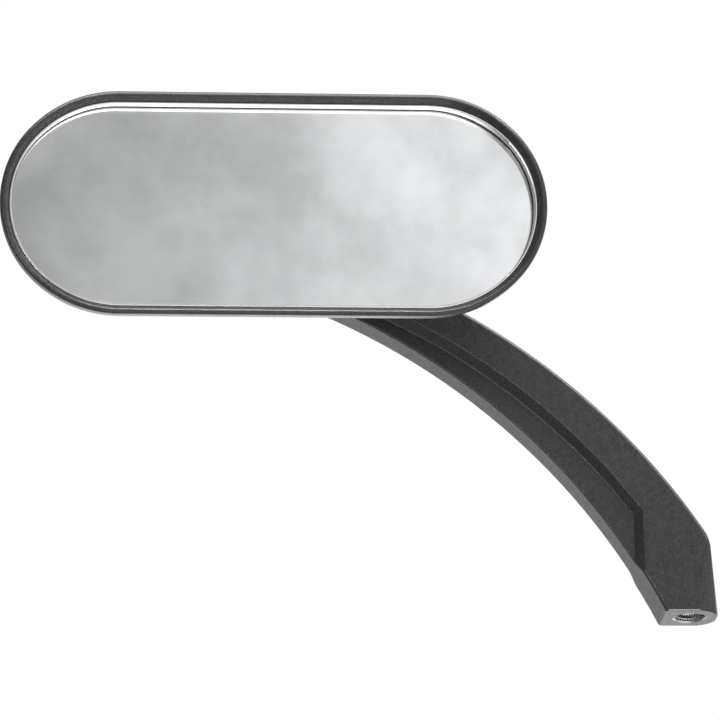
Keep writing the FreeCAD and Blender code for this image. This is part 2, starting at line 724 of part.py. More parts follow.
front_seat = new_body("front_seat")
front_profile = new_sketch(front_seat, "front_seat_profile", "XZ_Plane")
draw_seat(front_profile, "front_seat_back", None)
turn(front_seat, front_profile)
put_on_swivel(front_seat, tilted=True)

# Housing: a cast oval bowl with a socket hub on its back and a funnel lip in front

LEDGE_DEPTH = "funnel_depth+ring_depth+glass_thickness+gasket_thickness"
RIM = SOCKET + "+clamp_thickness+dimple_gap+glass_thickness+ring_depth+funnel_depth"
CAVITY_FLOOR = "post_top-post_height"
BACK = CAVITY_FLOOR + "-back_wall"
LEDGE = "(wall+ledge_width)"
BACK_ROUND = "min(back_round;0.98*(%s+back_wall+sqrt(2*%s*back_wall)))" % (LEDGE, LEDGE)
housing = new_body("housing")
outer = new_sketch(housing, "housing_outline", "XY_Plane", BACK)
oval(outer, "0")
pad(housing, outer, "%s-(%s)" % (RIM, BACK))
dress(housing, "Fillet", "Radius", BACK_ROUND,
      lambda edge: near(middle_of(edge).z, value_of(BACK)))
dress(housing, "Fillet", "Radius", "rim_round",
      lambda edge: near(middle_of(edge).z, value_of(RIM)))

glass_bore = new_sketch(housing, "glass_bore", "XY_Plane", RIM)
oval(glass_bore, "wall")
pocket(housing, glass_bore, LEDGE_DEPTH)

funnel_mouth = new_sketch(housing, "funnel_mouth", "XY_Plane", RIM)
oval(funnel_mouth, "lip_width")
funnel_root = new_sketch(housing, "funnel_root", "XY_Plane", RIM + "-funnel_depth")
oval(funnel_root, "wall")
loft_cut(housing, funnel_mouth, funnel_root)

cavity = new_sketch(housing, "cavity_outline", "XY_Plane", RIM)
oval(cavity, LEDGE)
CAVITY_DEPTH = "%s-(%s)" % (RIM, CAVITY_FLOOR)
pocket(housing, cavity, CAVITY_DEPTH)
dress(housing, "Fillet", "Radius", "min(cavity_round;0.9*(%s-(%s)))" % (CAVITY_DEPTH, LEDGE_DEPTH),
      lambda edge: near(middle_of(edge).z, value_of(CAVITY_FLOOR)))

hub = new_sketch(housing, "hub_profile", "XZ_Plane")
HUB = SOCKET + "+hub_wall"
HUB_FACE = "-sqrt((%s)^2-(neck_radius+lip_neck_room)^2)-hub_land" % SOCKET
polygon(hub, [
    (None, HUB_FACE),
    (HUB + "-hub_taper-hub_edge", HUB_FACE),
    (HUB + "-hub_taper", HUB_FACE + "+hub_edge"),
    (HUB, BACK),
    (HUB, "post_top"),
    (None, "post_top"),
])
turn(housing, hub)

posts = new_sketch(housing, "screw_posts", "XY_Plane", CAVITY_FLOOR + "-post_root")
four_circles(posts, "post_radius")
pad(housing, posts, "post_height+post_root")

socket = new_sketch(housing, "socket_profile", "XZ_Plane")


def draw_socket(sketch):
    """A part ball that opens to the back through a round lip and to the front as a bore."""
    lip = place("neck_radius+lip_neck_room", HUB_FACE + "+hub_land")
    behind = HUB_FACE + "-hub_land"
    waist = FreeCAD.Vector(value_of(SOCKET), 0, 0)
    ball_arc = arc(sketch, FreeCAD.Vector(), value_of(SOCKET), lip, waist)
    spots = [waist, place(SOCKET, "2*post_top"), place(None, "2*post_top"), place(None, behind),
             FreeCAD.Vector(lip.x, value_of(behind), 0), lip]
    first = ball_arc + 1
    for begin, finish in zip(spots, spots[1:]):
        sketch.addGeometry(Part.LineSegment(begin, finish), False)
    join(sketch, "Coincident", ball_arc, END, first, START)
    for step in range(4):
        join(sketch, "Coincident", first + step, END, first + step + 1, START)
    join(sketch, "Coincident", first + 4, END, ball_arc, START)
    join(sketch, "Coincident", ball_arc, CENTRE, *ORIGIN)
    fix(sketch, "Radius", (ball_arc,), SOCKET)
    fix(sketch, "DistanceX", ORIGIN + (ball_arc, START), "neck_radius+lip_neck_room")
    join(sketch, "PointOnObject", ball_arc, END, H_AXIS)
    join(sketch, "Vertical", first)
    join(sketch, "Horizontal", first + 1)
    fix_point(sketch, first + 1, END, None, "2*post_top")
    fix_point(sketch, first + 2, END, None, behind)
    join(sketch, "Horizontal", first + 3)
    join(sketch, "Vertical", first + 4)


draw_socket(socket)
turn(housing, socket, "Groove")

post_holes = new_sketch(housing, "post_holes", "XY_Plane", "post_top")
four_circles(post_holes, "clamp_screw_radius+clamp_thread_clearance")
POST_HOLE = "post_height+back_wall-clamp_hole_floor"
pocket(housing, post_holes, POST_HOLE)
put_on_swivel(housing, tilted=True)

# Clamp plate: pressed steel with a round dimple that holds the front seat on the ball

PLATE_BACK = "post_top+clamp_gap"
PLATE_FRONT = PLATE_BACK + "+clamp_thickness"
DIMPLE = SOCKET + "+clamp_thickness"
clamp_plate = new_body("clamp_plate")
plate = new_sketch(clamp_plate, "plate_outline", "XY_Plane", PLATE_BACK)
PLATE_X = "(post_spacing_x/2+clamp_margin)"
PLATE_Y = "(post_spacing_y/2+clamp_margin)"
polygon(plate, [
    ("-" + PLATE_X, "-" + PLATE_Y), (PLATE_X, "-" + PLATE_Y),
    (PLATE_X, PLATE_Y), ("-" + PLATE_X, PLATE_Y),
])
pad(clamp_plate, plate, "clamp_thickness")
dress(clamp_plate, "Fillet", "Radius", "clamp_corner",
      lambda edge: near(edge.Length, size["clamp_thickness"]))


def draw_dome(sketch, radius_text, base_text):
    """A round cap above a level base."""
    rim = ring_spot(radius_text, base_text)
    pole = FreeCAD.Vector(0, value_of(radius_text), 0)
    base = FreeCAD.Vector(0, rim.y, 0)
    dome_arc = arc(sketch, FreeCAD.Vector(), value_of(radius_text), rim, pole)
    axis_line = sketch.addGeometry(Part.LineSegment(pole, base), False)
    base_line = sketch.addGeometry(Part.LineSegment(base, rim), False)
    join(sketch, "Coincident", dome_arc, END, axis_line, START)
    join(sketch, "Coincident", axis_line, END, base_line, START)
    join(sketch, "Coincident", base_line, END, dome_arc, START)
    join(sketch, "Coincident", dome_arc, CENTRE, *ORIGIN)
    join(sketch, "PointOnObject", dome_arc, END, V_AXIS)
    join(sketch, "Horizontal", base_line)
    fix(sketch, "Radius", (dome_arc,), radius_text)
    fix_point(sketch, axis_line, END, None, base_text)


dimple_outside = new_sketch(clamp_plate, "dimple_outside", "XZ_Plane")
draw_dome(dimple_outside, DIMPLE, PLATE_BACK)
turn(clamp_plate, dimple_outside)
dimple_inside = new_sketch(clamp_plate, "dimple_inside", "XZ_Plane")
draw_dome(dimple_inside, SOCKET, PLATE_BACK + "-clamp_thickness")
turn(clamp_plate, dimple_inside, "Groove")
plate_holes = new_sketch(clamp_plate, "plate_holes", "XY_Plane", PLATE_FRONT)
four_circles(plate_holes, "clamp_screw_radius+clamp_hole_clearance")
pocket(clamp_plate, plate_holes, "clamp_thickness")
put_on_swivel(clamp_plate, tilted=True)

# Four clamp screws, each with a flat and a split washer under its head

LOCK_BACK = PLATE_FRONT + "+clamp_washer_thickness"
CLAMP_HEAD = LOCK_BACK + "+clamp_lock_thickness"


def four_rings(name, outline_name, back_text, thickness_text, radius_text):
    body = new_body(name)
    outline = new_sketch(body, outline_name, "XY_Plane", back_text)
    four_circles(outline, radius_text)
    four_circles(outline, "clamp_screw_radius+clamp_hole_clearance")
    pad(body, outline, thickness_text)
    return body


clamp_washers = four_rings("clamp_washers", "flat_washers", PLATE_FRONT,
                           "clamp_washer_thickness", "clamp_washer_radius")
put_on_swivel(clamp_washers, tilted=True)

clamp_lock_washers = four_rings("clamp_lock_washers", "split_washers", LOCK_BACK,
                                "clamp_lock_thickness", "clamp_head_radius")
lock_gaps = new_sketch(clamp_lock_washers, "lock_gaps", "XY_Plane", CLAMP_HEAD)
for x_sign in ("", "-"):
    for y_sign in ("", "-"):
        slit(lock_gaps, x_sign + "post_spacing_x/2", y_sign + "post_spacing_y/2", "2*clamp_head_radius")
pocket(clamp_lock_washers, lock_gaps, "clamp_lock_thickness")
put_on_swivel(clamp_lock_washers, tilted=True)

clamp_screws = new_body("clamp_screws")
screw_heads = new_sketch(clamp_screws, "screw_heads", "XY_Plane", CLAMP_HEAD)
four_circles(screw_heads, "clamp_head_radius")
pad(clamp_screws, screw_heads, "clamp_head_height")
SHANK_END = "post_top-(%s)+clamp_screw_tip_gap" % POST_HOLE
screw_shanks = new_sketch(clamp_screws, "screw_shanks", "XY_Plane", SHANK_END)
four_circles(screw_shanks, "clamp_screw_radius")
pad(clamp_screws, screw_shanks, "%s-(%s)" % (CLAMP_HEAD, SHANK_END))
screw_slots = new_sketch(clamp_screws, "screw_slots", "XY_Plane", CLAMP_HEAD + "+clamp_head_height")
for x_sign in ("", "-"):
    for y_sign in ("", "-"):
        slot_x = x_sign + "post_spacing_x/2"
        slot_y = y_sign + "post_spacing_y/2"
        polygon(screw_slots, [
            (slot_x + "-2*clamp_head_radius", slot_y + "-clamp_slot_width/2"),
            (slot_x + "+2*clamp_head_radius", slot_y + "-clamp_slot_width/2"),
            (slot_x + "+2*clamp_head_radius", slot_y + "+clamp_slot_width/2"),
            (slot_x + "-2*clamp_head_radius", slot_y + "+clamp_slot_width/2"),
        ])
pocket(clamp_screws, screw_slots, "clamp_slot_depth")
put_on_swivel(clamp_screws, tilted=True)

# Glass on its gasket, held in the bore by the bright ring

GASKET_BACK = "%s-(%s)" % (RIM, LEDGE_DEPTH)
GLASS_BACK = GASKET_BACK + "+gasket_thickness"
GLASS_FRONT = GLASS_BACK + "+glass_thickness"
glass_gasket = new_body("glass_gasket")
gasket = new_sketch(glass_gasket, "gasket_outline", "XY_Plane", GASKET_BACK)
oval(gasket, "wall+glass_clearance")
oval(gasket, "wall+glass_clearance+gasket_width")
pad(glass_gasket, gasket, "gasket_thickness")
put_on_swivel(glass_gasket, tilted=True)

mirror_glass = new_body("mirror_glass")
glass = new_sketch(mirror_glass, "glass_outline", "XY_Plane", GLASS_BACK)
oval(glass, "wall+glass_clearance")
pad(mirror_glass, glass, "glass_thickness")
dress(mirror_glass, "Chamfer", "Size", "glass_edge_bevel",
      lambda edge: near(middle_of(edge).z, value_of(GLASS_FRONT)))
put_on_swivel(mirror_glass, tilted=True)

trim_ring = new_body("trim_ring")
ring = new_sketch(trim_ring, "ring_outline", "XY_Plane", GLASS_FRONT)
oval(ring, "wall+ring_clearance")
oval(ring, "wall+ring_clearance+ring_wall")
pad(trim_ring, ring, "ring_depth")
dress(trim_ring, "Fillet", "Radius", "min(ring_edge_round;0.45*ring_wall)",
      lambda edge: near(middle_of(edge).z, value_of(RIM + "-funnel_depth")))
put_on_swivel(trim_ring, tilted=True)

# Test every object, then write each piece to its own file

doc.recompute()
for item in doc.Objects:
    if "Invalid" in item.State or "Error" in item.State:
        raise RuntimeError("%s could not be built: %s" % (item.Name, item.State))
for body in sub_parts:
    if body.Shape.isNull() or not body.Shape.isValid():
        raise RuntimeError("%s has no valid shape" % body.Label)
os.makedirs("parts", exist_ok=True)
for body in sub_parts:
    body.Shape.exportStep(os.path.join("parts", body.Label + ".step"))
    print("%-20s %2d solids %10.1f mm3" % (body.Label, len(body.Shape.Solids), body.Shape.Volume))
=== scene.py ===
import math

import bmesh
import bpy
from mathutils import Matrix, Vector


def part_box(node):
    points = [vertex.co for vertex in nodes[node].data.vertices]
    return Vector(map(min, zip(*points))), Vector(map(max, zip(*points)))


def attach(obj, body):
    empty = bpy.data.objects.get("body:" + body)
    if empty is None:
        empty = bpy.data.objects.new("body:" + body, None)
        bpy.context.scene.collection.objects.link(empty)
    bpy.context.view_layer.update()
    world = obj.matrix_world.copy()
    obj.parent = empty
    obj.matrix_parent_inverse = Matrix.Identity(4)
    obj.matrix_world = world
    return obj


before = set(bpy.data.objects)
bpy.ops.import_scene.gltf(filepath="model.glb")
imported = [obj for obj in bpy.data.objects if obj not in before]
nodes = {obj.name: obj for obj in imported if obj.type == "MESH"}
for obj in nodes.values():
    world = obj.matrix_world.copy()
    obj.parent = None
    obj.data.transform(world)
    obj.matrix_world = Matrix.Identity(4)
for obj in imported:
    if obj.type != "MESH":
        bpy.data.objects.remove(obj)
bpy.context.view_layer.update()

scene = bpy.context.scene

# Stem
# The stem is a curved blade, die-cast in aluminium in one piece with the boss at its top.
# It is sprayed with a satin black coat, which lies in a fine orange peel over the casting. The tapped
# hole is cut afterwards, so it is bare. The end's front edge carries a painted highlight: a thin band
# coloured as bright bare metal.
COAT_COLOUR = (0.0195, 0.0208, 0.0201)
COAT_LIGHTER = (0.072, 0.0752, 0.0735)
COAT_ROUGHNESS = (0.26, 0.40)
COAT_IOR = 1.42
SPECK_SIZE = 0.00038
PEEL_SIZE = 0.0011
PEEL_DEPTH = 0.00003
GRAIN_DETAIL = 3.0
GRAIN_RANGE = (0.3, 0.7)
# The bare metal colour is both the real bare wall of the tapped hole and a painted highlight on the end's
# front edge.
BARE_METAL_AND_HIGHLIGHT_COLOUR = (0.45, 0.45, 0.445, 1)
HOLE_MOUTH = 0.00441
HOLE_MOUTH_FADE = 0.00003
HOLE_DEPTH = 0.0175
HOLE_DEPTH_FADE = 0.0005
STEM_FRONT = 0.0072
# Where the painted highlight lies: a thin band along the end's front edge, just above its foot.
PAINTED_HIGHLIGHT_EDGE = 0.00026
PAINTED_HIGHLIGHT_EDGE_FADE = 0.0001
PAINTED_HIGHLIGHT_HEIGHT = 2 * PAINTED_HIGHLIGHT_EDGE
PAINTED_HIGHLIGHT_HEIGHT_FADE = 0.0004


def add_node(material, kind, place, **sockets):
    """Add a shader node at a place in the editor and set its plain values by socket name."""
    node = material.node_tree.nodes.new("ShaderNode" + kind)
    node.location = place
    for name, value in sockets.items():
        node.inputs[name.replace("_", " ")].default_value = value
    return node


def new_finish(name):
    """An empty material with its surface shader and the piece's own coordinates."""
    material = bpy.data.materials.new(name)
    material.use_nodes = True
    material.node_tree.nodes.clear()
    output = add_node(material, "OutputMaterial", (600, 0))
    surface = add_node(material, "BsdfPrincipled", (300, 0))
    material.node_tree.links.new(surface.outputs["BSDF"], output.inputs["Surface"])
    coordinates = add_node(material, "TexCoord", (-900, 0))
    return material, surface, coordinates.outputs["Object"]


def grain(material, vector, place, size):
    """Noise whose spots are about this many metres across."""
    noise = add_node(material, "TexNoise", place, Scale=1 / size, Detail=GRAIN_DETAIL)
    material.node_tree.links.new(vector, noise.inputs["Vector"])
    return noise.outputs["Fac"]


def spread(material, factor, low, high, socket, place):
    """Lead a pattern into a socket, drawn out between two values or two colours."""
    ramp = add_node(material, "ValToRGB", place)
    for stop, position, value in zip(ramp.color_ramp.elements, GRAIN_RANGE, (low, high)):
        stop.position = position
        stop.color = (*value, 1) if isinstance(value, tuple) else (value, value, value, 1)
    material.node_tree.links.new(factor, ramp.inputs["Fac"])
    material.node_tree.links.new(ramp.outputs["Color"], socket)


def raise_grain(material, surface, factor, depth, place):
    """Bump the surface by this many metres."""
    bump = add_node(material, "Bump", place, Distance=depth)
    material.node_tree.links.new(factor, bump.inputs["Height"])
    material.node_tree.links.new(bump.outputs["Normal"], surface.inputs["Normal"])


def black_coat(name):
    material, surface, vector = new_finish(name)
    speck = grain(material, vector, (-700, 200), SPECK_SIZE)
    peel = grain(material, vector, (-700, -300), PEEL_SIZE)
    spread(material, speck, COAT_COLOUR, COAT_LIGHTER, surface.inputs["Base Color"], (-300, 250))
    spread(material, peel, *COAT_ROUGHNESS, surface.inputs["Roughness"], (-300, 0))
    raise_grain(material, surface, peel, PEEL_DEPTH, (0, -300))
    surface.inputs["IOR"].default_value = COAT_IOR
    return material


def stem_coat():
    """The black coat, open to the bare metal inside the tapped hole, with a band of bright metal painted
    along the end's front edge as its highlight.
    """
    material = black_coat("stem_coat")
    link = material.node_tree.links.new
    surface = material.node_tree.nodes["Principled BSDF"]
    vector = material.node_tree.nodes["Texture Coordinate"].outputs["Object"]

    def measure(operation, source, place, by=None):
        """One of the ways to work on a vector, with a fixed second vector where it takes one."""
        node = add_node(material, "VectorMath", place)
        node.operation = operation
        link(source, node.inputs[0])
        if by:
            node.inputs[1].default_value = by
        return node.outputs

    def below(value, limit, fade, place):
        """1 where a value is under a limit, fading out above it."""
        node = add_node(material, "MapRange", place, From_Min=limit + fade, From_Max=limit)
        link(value, node.inputs["Value"])
        return node.outputs["Result"]

    def join(operation, first, second, place):
        """Two masks made one."""
        node = add_node(material, "Math", place)
        node.operation = operation
        link(first, node.inputs[0])
        link(second, node.inputs[1])
        return node.outputs["Value"]

    parted = add_node(material, "SeparateXYZ", (-700, 500))
    link(vector, parted.inputs["Vector"])
    height = parted.outputs["Z"]
    flat = measure("MULTIPLY", vector, (-700, 900), by=(1, 1, 0))["Vector"]
    radius = measure("LENGTH", flat, (-500, 900))["Value"]
    from_edge = measure("DOT_PRODUCT", vector, (-700, 700), by=(0, 1, 1))["Value"]
    in_hole = join("MULTIPLY", below(radius, HOLE_MOUTH, HOLE_MOUTH_FADE, (-300, 1000)),
                   below(height, HOLE_DEPTH, HOLE_DEPTH_FADE, (-300, 800)), (-100, 900))
    # Painted highlight: a band along the end's front edge, coloured as bright bare metal to draw the
    # edge's highlight line.
    painted_edge_highlight = join("MULTIPLY", below(from_edge, PAINTED_HIGHLIGHT_EDGE - STEM_FRONT, PAINTED_HIGHLIGHT_EDGE_FADE, (-300, 600)),
                   below(height, PAINTED_HIGHLIGHT_HEIGHT, PAINTED_HIGHLIGHT_HEIGHT_FADE, (-300, 400)), (-100, 500))
    bare_metal_and_highlight = join("MAXIMUM", in_hole, painted_edge_highlight, (0, 700))
    colour = add_node(material, "Mix", (100, 300))
    colour.data_type = "RGBA"
    colour.inputs["B"].default_value = BARE_METAL_AND_HIGHLIGHT_COLOUR
    link(bare_metal_and_highlight, colour.inputs["Factor"])
    link(surface.inputs["Base Color"].links[0].from_socket, colour.inputs["A"])
    link(colour.outputs["Result"], surface.inputs["Base Color"])
    link(bare_metal_and_highlight, surface.inputs["Metallic"])
    return material


def dress(node, material):
    """Give a node's own solid its finish."""
    nodes[node].data.materials.clear()
    nodes[node].data.materials.append(material)


dress("stem", stem_coat())

# Tapped thread
# The stem's end is drilled and tapped for a coarse 5/16 inch stud, after the coat has been sprayed.
# The cut thread is bare, bright aluminium: one ridge that winds up the hole's wall.
THREAD_RADIUS = 0.00397
THREAD_RIDGE = 0.00066
THREAD_PITCH = 0.001411
THREAD_TURNS = 10.0
THREAD_START = 0.00078
THREAD_FADE = 0.05
THREAD_TIP = 0.02
STEPS_A_TURN = 40
RIDGE_FOOT = 0.44
RIDGE_CREST = 0.125
CUT_COLOUR = (0.88, 0.88, 0.87)
CUT_SHADE = (0.70, 0.70, 0.70)
CUT_ROUGHNESS = (0.18, 0.34)
CHATTER_SIZE = 0.0004
CHATTER_DEPTH = 0.00001


def cut_metal():
    material, surface, vector = new_finish("cut_metal")
    chatter = grain(material, vector, (-700, 200), CHATTER_SIZE)
    spread(material, chatter, CUT_SHADE, CUT_COLOUR, surface.inputs["Base Color"], (-300, 250))
    spread(material, chatter, *CUT_ROUGHNESS, surface.inputs["Roughness"], (-300, 0))
    raise_grain(material, surface, chatter, CHATTER_DEPTH, (0, -300))
    surface.inputs["Metallic"].default_value = 1.0
    return material


def thread_tree():
    """A ridge swept along a helix, fading in and out at its ends."""
    tree = bpy.data.node_groups.new("thread", "GeometryNodeTree")
    for name in ("Radius", "Ridge", "Pitch", "Turns", "Start", "Fade"):
        tree.interface.new_socket(name, in_out="INPUT", socket_type="NodeSocketFloat")
    tree.interface.new_socket("Finish", in_out="INPUT", socket_type="NodeSocketMaterial")
    tree.interface.new_socket("Geometry", in_out="OUTPUT", socket_type="NodeSocketGeometry")
    link = tree.links.new

    def add(kind, **settings):
        node = tree.nodes.new(kind)
        for name, value in settings.items():
            setattr(node, name, value)
        return node

    def times(source, factor):
        node = add("ShaderNodeMath", operation="MULTIPLY")
        link(source, node.inputs[0])
        if isinstance(factor, float):
            node.inputs[1].default_value = factor
        else:
            link(factor, node.inputs[1])
        return node.outputs[0]

    given = add("NodeGroupInput").outputs
    helix = add("GeometryNodeCurveSpiral")
    helix.inputs["Resolution"].default_value = STEPS_A_TURN
    helix.inputs["Reverse"].default_value = True
    for name in ("Start Radius", "End Radius"):
        link(given["Radius"], helix.inputs[name])
    link(given["Turns"], helix.inputs["Rotations"])
    link(times(given["Pitch"], given["Turns"]), helix.inputs["Height"])
    level = add("GeometryNodeSetCurveNormal", mode="Z_UP")
    link(helix.outputs["Curve"], level.inputs["Curve"])
    along = add("GeometryNodeSplineParameter")
    from_end = add("ShaderNodeMath", operation="PINGPONG")
    from_end.inputs[1].default_value = 0.5
    link(along.outputs["Factor"], from_end.inputs[0])
    fade = add("ShaderNodeMapRange", interpolation_type="SMOOTHSTEP")
    fade.inputs["To Min"].default_value = THREAD_TIP
    link(from_end.outputs[0], fade.inputs["Value"])
    link(given["Fade"], fade.inputs["From Max"])
    profile = add("GeometryNodeCurvePrimitiveQuadrilateral", mode="POINTS")
    spots = ((None, -RIDGE_FOOT), (None, RIDGE_FOOT), ("Ridge", RIDGE_CREST), ("Ridge", -RIDGE_CREST))
    for number, (inward, side) in enumerate(spots, start=1):
        spot = add("ShaderNodeCombineXYZ")
        if inward:
            link(given[inward], spot.inputs["X"])
        link(times(given["Pitch"], side), spot.inputs["Y"])
        link(spot.outputs["Vector"], profile.inputs["Point %d" % number])
    sweep = add("GeometryNodeCurveToMesh")
    sweep.inputs["Fill Caps"].default_value = True
    link(level.outputs["Curve"], sweep.inputs["Curve"])
    link(profile.outputs["Curve"], sweep.inputs["Profile Curve"])
    link(fade.outputs["Result"], sweep.inputs["Scale"])
    lift = add("ShaderNodeCombineXYZ")
    link(given["Start"], lift.inputs["Z"])
    placed = add("GeometryNodeTransform")
    link(sweep.outputs["Mesh"], placed.inputs["Geometry"])
    link(lift.outputs["Vector"], placed.inputs["Translation"])
    whole = add("GeometryNodeRealizeInstances")
    link(placed.outputs["Geometry"], whole.inputs["Geometry"])
    finish = add("GeometryNodeSetMaterial")
    link(whole.outputs["Geometry"], finish.inputs["Geometry"])
    link(given["Finish"], finish.inputs["Material"])
    link(finish.outputs["Geometry"], add("NodeGroupOutput").inputs["Geometry"])
    return tree


def grow(name, tree, **sizes):
    """Run a tree with its sizes and keep what it makes as a plain mesh under this name."""
    piece = bpy.data.objects.new(name, bpy.data.meshes.new(name + "_seed"))
    scene.collection.objects.link(piece)
    maker = piece.modifiers.new(name, "NODES")
    maker.node_group = tree
    for socket in tree.interface.items_tree:
        if socket.in_out == "INPUT":
            maker[socket.identifier] = sizes[socket.name]
    made = piece.evaluated_get(bpy.context.evaluated_depsgraph_get())
    piece.data = bpy.data.meshes.new_from_object(made)
    piece.data.name = name
    piece.modifiers.remove(maker)
    return piece


thread = grow("mount_thread", thread_tree(), Radius=THREAD_RADIUS, Ridge=THREAD_RIDGE, Pitch=THREAD_PITCH,
              Turns=THREAD_TURNS, Start=THREAD_START, Fade=THREAD_FADE, Finish=cut_metal())
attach(thread, "stem")

# Ball stud, its screw and lock washer
# Turned and cold-headed steel, zinc plated. The screw draws the stud into the boss from behind,
# and the split washer under its head keeps it tight.
STEEL_COLOUR = (0.52, 0.53, 0.55)
STEEL_DULL = (0.40, 0.41, 0.43)
STEEL_ROUGHNESS = (0.28, 0.40)
STEEL_CLOUD_SIZE = 0.004
STEEL_FINE_SIZE = 0.0003
STEEL_FINE_DEPTH = 0.000004


def plated_steel():
    material, surface, vector = new_finish("plated_steel")
    cloud = grain(material, vector, (-700, 200), STEEL_CLOUD_SIZE)
    fine = grain(material, vector, (-700, -300), STEEL_FINE_SIZE)
    spread(material, cloud, STEEL_DULL, STEEL_COLOUR, surface.inputs["Base Color"], (-300, 250))
    spread(material, cloud, *STEEL_ROUGHNESS, surface.inputs["Roughness"], (-300, 0))
    raise_grain(material, surface, fine, STEEL_FINE_DEPTH, (0, -300))
    surface.inputs["Metallic"].default_value = 1.0
    return material


steel = plated_steel()
for node in ("swivel_ball", "swivel_bolt", "swivel_lock_washer"):
    dress(node, steel)

# Swivel seats
# Two rings moulded in nylon, milky and a little waxy, that the ball turns in. One lies in the
# housing's socket and the other under the clamp plate, which presses both on the ball.
NYLON_COLOUR = (0.72, 0.70, 0.63)
NYLON_SHADE = (0.62, 0.60, 0.54)
NYLON_ROUGHNESS = (0.45, 0.6)
NYLON_CLOUD_SIZE = 0.003
NYLON_FINE_SIZE = 0.0005
NYLON_FINE_DEPTH = 0.00001
NYLON_GLOW = 0.15
NYLON_GLOW_DEPTH = 0.001


def moulded_nylon():
    material, surface, vector = new_finish("moulded_nylon")
    cloud = grain(material, vector, (-700, 200), NYLON_CLOUD_SIZE)
    fine = grain(material, vector, (-700, -300), NYLON_FINE_SIZE)
    spread(material, cloud, NYLON_SHADE, NYLON_COLOUR, surface.inputs["Base Color"], (-300, 250))
    spread(material, fine, *NYLON_ROUGHNESS, surface.inputs["Roughness"], (-300, 0))
    raise_grain(material, surface, fine, NYLON_FINE_DEPTH, (0, -300))
    surface.inputs["Subsurface Weight"].default_value = NYLON_GLOW
    surface.inputs["Subsurface Scale"].default_value = NYLON_GLOW_DEPTH
    return material


nylon = moulded_nylon()
for node in ("rear_seat", "front_seat"):
    dress(node, nylon)

# Housing
# The head's shell is cast like the stem and sprayed in the same black coat. The coat lies round over
# the lip's edges, so they catch the light in a thin line.
EDGE_ROUND = 0.0007
EDGE_SAMPLES = 8


def housing_coat():
    """The black coat, drawn round over the casting's sharp edges."""
    material = black_coat("housing_coat")
    edges = add_node(material, "Bevel", (-300, -500), Radius=EDGE_ROUND)
    edges.samples = EDGE_SAMPLES
    bump = material.node_tree.nodes["Bump"]
    material.node_tree.links.new(edges.outputs["Normal"], bump.inputs["Normal"])
    return material


dress("housing", housing_coat())

# Clamp plate and its fasteners
# A pressed plate of zinc-plated steel holds the ball in its socket. Four pan-head screws draw it
# down, each on a flat washer and a split one.
for node in ("clamp_plate", "clamp_washers", "clamp_lock_washers", "clamp_screws"):
    dress(node, steel)

# Gasket
# A thin strip of closed-cell foam, cut to the oval and sticky on both sides. It lies on the housing's
# ledge, and the glass is bonded to it.
FOAM_COLOUR = (0.020, 0.020, 0.021)
FOAM_LIGHTER = (0.035, 0.035, 0.036)
FOAM_ROUGHNESS = (0.8, 0.95)
CELL_SIZE = 0.0004
CELL_DEPTH = 0.00008


def cell_foam():
    material, surface, vector = new_finish("cell_foam")
    cells = grain(material, vector, (-700, 0), CELL_SIZE)
    spread(material, cells, FOAM_COLOUR, FOAM_LIGHTER, surface.inputs["Base Color"], (-300, 250))
    spread(material, cells, *FOAM_ROUGHNESS, surface.inputs["Roughness"], (-300, 0))
    raise_grain(material, surface, cells, CELL_DEPTH, (0, -300))
    return material


dress("glass_gasket", cell_foam())

# Mirror glass
# A flat oval of clear float glass with a film of silver on its back, which stops short of its edge.
# The film makes the picture, so what stands on the glass and its image are a glass thickness apart.
GLASS_COLOUR = (0.978, 0.981, 0.985)
GLASS_SHADE = (0.968, 0.972, 0.976)
GLASS_ROUGHNESS = (0.0, 0.004)
GLASS_IOR = 1.52
SILVER_COLOUR = (0.95, 0.95, 0.945)
SILVER_SHADE = (0.93, 0.935, 0.93)
SILVER_ROUGHNESS = (0.0, 0.01)
HAZE_SIZE = 0.02
GLASS_LEAN = math.radians(9.5)
GLASS_FRONT = Vector((0, -math.cos(GLASS_LEAN), -math.sin(GLASS_LEAN)))
FACING_BACK = -0.999
SAME_POINT = 1e-6
SAME_PLANE = 0.01
FILM_DEPTH = 0.00004
FILM_THICKNESS = 0.00002
FILM_BORDER = 0.0006


def float_glass():
    material, surface, vector = new_finish("float_glass")
    haze = grain(material, vector, (-700, 200), HAZE_SIZE)
    spread(material, haze, GLASS_SHADE, GLASS_COLOUR, surface.inputs["Base Color"], (-300, 250))
    spread(material, haze, *GLASS_ROUGHNESS, surface.inputs["Roughness"], (-300, 0))
    surface.inputs["Transmission Weight"].default_value = 1.0
    surface.inputs["IOR"].default_value = GLASS_IOR
    return material


def silver_film():
    material, surface, vector = new_finish("silver_film")
    haze = grain(material, vector, (-700, 200), HAZE_SIZE)
    spread(material, haze, SILVER_SHADE, SILVER_COLOUR, surface.inputs["Base Color"], (-300, 250))
    spread(material, haze, *SILVER_ROUGHNESS, surface.inputs["Roughness"], (-300, 0))
    surface.inputs["Metallic"].default_value = 1.0
    return material


